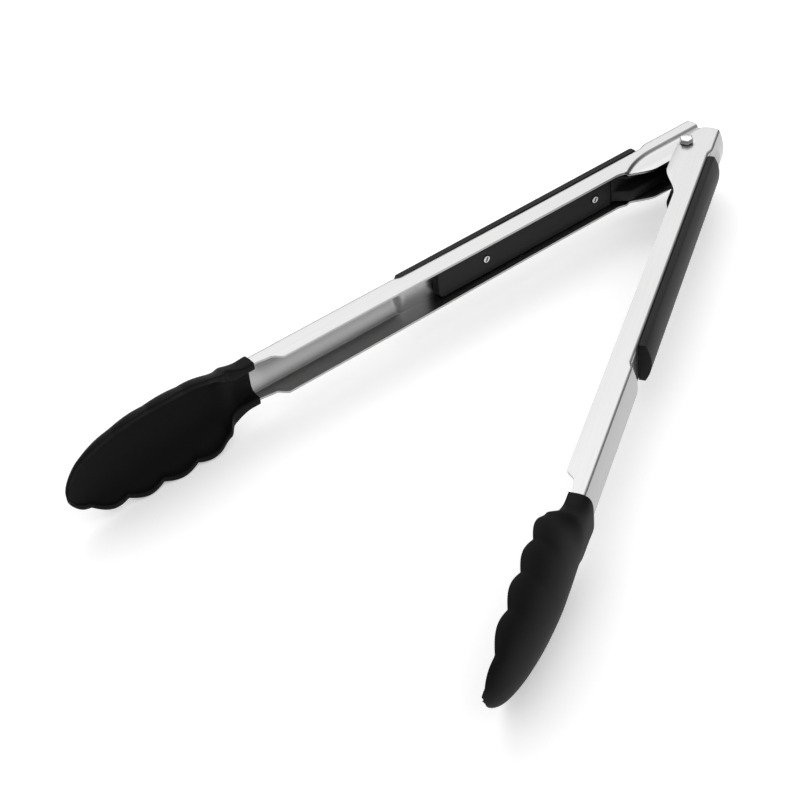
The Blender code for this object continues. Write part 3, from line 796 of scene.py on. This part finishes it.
def make_screw(name, side, u):
    face_v = LINER_FACE_V + 0.05
    screw = rod(name, u, face_v - SCREW_HEAD_HEIGHT, face_v + 2.0, SCREW_HEAD_RADIUS)
    select_only(screw, "FACE", lambda face: face.normal.y < -0.9)
    bpy.ops.mesh.bevel(offset=SCREW_HEAD_ROUND, segments=4, affect="EDGES")
    deselect()
    depth = SLOT_CUTTER_EXTRA + SLOT_DEPTH
    slot_v = face_v - SCREW_HEAD_HEIGHT - SLOT_CUTTER_EXTRA + depth / 2.0
    bpy.ops.mesh.primitive_cube_add(size=1.0, location=(u, slot_v, 0.0),
                                    rotation=(0.0, SLOT_SLANT, 0.0),
                                    scale=(SLOT_LENGTH, depth, SLOT_WIDTH))
    cut_away(screw, bpy.context.object)
    put_on_arm(screw, side)
    smooth(screw)
    screw.data.materials.append(bright_metal(name + "_steel"))
    return screw


for prefix, side in SIDES.items():
    for where, u in SCREW_U.items():
        node = f"{prefix}_{where}_screw"
        fit(make_screw(node + "_head", side, u), prefix + "_side", node)


# ---------------------------------------------------------------------------------------------
# Spring blocks: a black moulding in each channel beside the pivot. It rises above the liner and
# carries the spring's leg in a groove.
# ---------------------------------------------------------------------------------------------

def merged_copy(name, node, edge_round):
    """A copy of a plain node with its loose triangles merged and its edges rounded."""
    deselect()
    piece = frame["nodes"][node].copy()
    piece.data = frame["nodes"][node].data.copy()
    piece.parent = None
    for key in list(piece.keys()):
        del piece[key]
    bpy.context.scene.collection.objects.link(piece)
    piece.name = name
    piece.data.materials.clear()
    edit_whole(piece)
    bpy.ops.mesh.remove_doubles(threshold=0.000002)
    bpy.ops.mesh.dissolve_limited(angle_limit=math.radians(1.0))
    bpy.ops.object.mode_set(mode="OBJECT")
    apply_modifier(piece, "BEVEL", width=edge_round * MM, segments=3, limit_method="ANGLE",
                   angle_limit=math.radians(35.0))
    smooth(piece)
    return piece


for prefix, side in SIDES.items():
    moulding = merged_copy(prefix + "_spring_seat", prefix + "_spring_block", 0.3)
    moulding.data.materials.append(soft_plastic(prefix + "_spring_seat_plastic", 0.008, side))
    fit(moulding, prefix + "_side", prefix + "_spring_block")


# ---------------------------------------------------------------------------------------------
# Pivot: a steel pin with a six-sided head, a cap closed over its lower end, and the nylon bush
# and washers that carry the spring's coil between the inner ears.
# ---------------------------------------------------------------------------------------------

PIN_RADIUS = 2.0
PIN_HEAD_RADIUS, PIN_HEAD_HEIGHT = 2.85, 2.1
PIN_HEAD_TURN, PIN_HEAD_ROUND = math.radians(12.0), 0.45
PIN_GAP = 0.12
PIN_TAIL, PIN_OVERLAP = 1.5, 0.5


def pin_cylinder(radius, low_z, high_z, sides, turn=0.0):
    """Adds a cylinder on the pivot's axis between two heights from mid height."""
    deselect()
    middle = PIVOT + Vector((0.0, 0.0, (low_z + high_z) / 2.0 * MM))
    bpy.ops.mesh.primitive_cylinder_add(vertices=sides, radius=radius * MM, location=middle,
                                        depth=(high_z - low_z) * MM, rotation=(0.0, 0.0, turn))
    return bpy.context.object


def make_pin(name):
    low = -CHANNEL_HALF_HEIGHT - PIN_TAIL
    high = CHANNEL_HALF_HEIGHT + PIN_GAP
    pin = pin_cylinder(PIN_HEAD_RADIUS, high, high + PIN_HEAD_HEIGHT, 6, PIN_HEAD_TURN)
    pin.name = name
    bpy.ops.object.transform_apply(location=True, rotation=True, scale=True)
    apply_modifier(pin, "BEVEL", width=PIN_HEAD_ROUND * MM, segments=4, limit_method="ANGLE",
                   angle_limit=math.radians(30.0))
    shank = pin_cylinder(PIN_RADIUS, low, high + PIN_OVERLAP, 48)
    apply_modifier(pin, "BOOLEAN", operation="UNION", object=shank, solver="EXACT")
    bpy.data.objects.remove(shank, do_unlink=True)
    smooth(pin, 35.0)
    pin.data.materials.append(bright_metal(name + "_steel", 0.2))
    return pin


def white_nylon(name):
    """Milky nylon with the fine skin of the mould."""
    finish = Finish(name)
    skin = finish.noise(finish.along(), 1500.0, 2.0)
    finish.bump(skin, 0.1, 0.0001)
    tone = finish.mix(skin, (0.70, 0.69, 0.64), (0.80, 0.79, 0.74))
    return finish.set(Base_Color=tone, Roughness=0.42 + 0.12 * skin)


fit(make_pin("pivot_pin_body"), "outer_side", "pivot_pin")
cap = merged_copy("pivot_cap", "pin_cap", 0.25)
cap.data.materials.append(bright_metal("pivot_cap_steel", 0.22))
fit(cap, "outer_side", "pin_cap")
for node in ("spring_bush", "upper_washer", "lower_washer"):
    ring = merged_copy(node + "_moulding", node, 0.12)
    ring.data.materials.append(white_nylon(node + "_nylon"))
    fit(ring, "outer_side", node)


# ---------------------------------------------------------------------------------------------
# Torsion spring: hard drawn wire coiled round the bush, with one leg along each arm. The coil
# winds up as the arms close.
# ---------------------------------------------------------------------------------------------

WIRE_RADIUS = 0.65
COIL_RADIUS, COIL_HALF_LENGTH = 4.2, 3.1
COIL_TURNS, STEPS_A_TURN = 4, 48
LEG_LENGTH = 29.0


def spring_wire(name):
    """Grey spring wire with the faint marks of drawing."""
    finish = Finish(name, Metallic=1.0)
    draw = finish.noise(finish.along(), 1400.0, 3.0, 0.6)
    finish.bump(draw, 0.08, 0.00005)
    tone = finish.mix(draw, (0.30, 0.30, 0.31), (0.50, 0.50, 0.51))
    return finish.set(Base_Color=tone, Roughness=0.24 + 0.18 * draw)


def coil_place(angle, z):
    return PIVOT + Vector((COIL_RADIUS * math.cos(angle), COIL_RADIUS * math.sin(angle), z)) * MM


def make_spring(name):
    """Draws the wire's centre line from one leg's end to the other's, then thickens it."""
    first = math.pi / 2 + HALF_OPENING
    last = 1.5 * math.pi - HALF_OPENING + 2.0 * math.pi * COIL_TURNS
    steps = round(STEPS_A_TURN * (last - first) / (2.0 * math.pi))
    reaches = [LEG_LENGTH * share for share in (1.0, 0.8, 0.6, 0.4, 0.2)]
    path = [on_arm(OUTER, reach, COIL_RADIUS, -COIL_HALF_LENGTH) for reach in reaches]
    for i in range(steps + 1):
        z = COIL_HALF_LENGTH * (2.0 * i / steps - 1.0)
        path.append(coil_place(first + (last - first) * i / steps, z))
    path += [on_arm(INNER, reach, COIL_RADIUS, COIL_HALF_LENGTH) for reach in reversed(reaches)]
    deselect()
    bpy.ops.curve.primitive_nurbs_path_add()
    wire = bpy.context.object
    wire.name = name
    wire.data.splines.clear()
    spline = wire.data.splines.new("POLY")
    spline.points.add(len(path) - 1)
    for point, place in zip(spline.points, path):
        point.co = (*place, 1.0)
    wire.location = (0.0, 0.0, 0.0)
    wire.rotation_euler = (0.0, 0.0, 0.0)
    wire.data.bevel_depth = WIRE_RADIUS * MM
    wire.data.bevel_resolution = 4
    wire.data.use_fill_caps = True
    bpy.ops.object.convert(target="MESH")
    spring = bpy.context.object
    close_wall(spring)
    smooth(spring, 50.0)
    spring.data.materials.append(spring_wire(name + "_steel"))
    return spring


coil = make_spring("spring_coil")
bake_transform(coil)
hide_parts("torsion_spring")
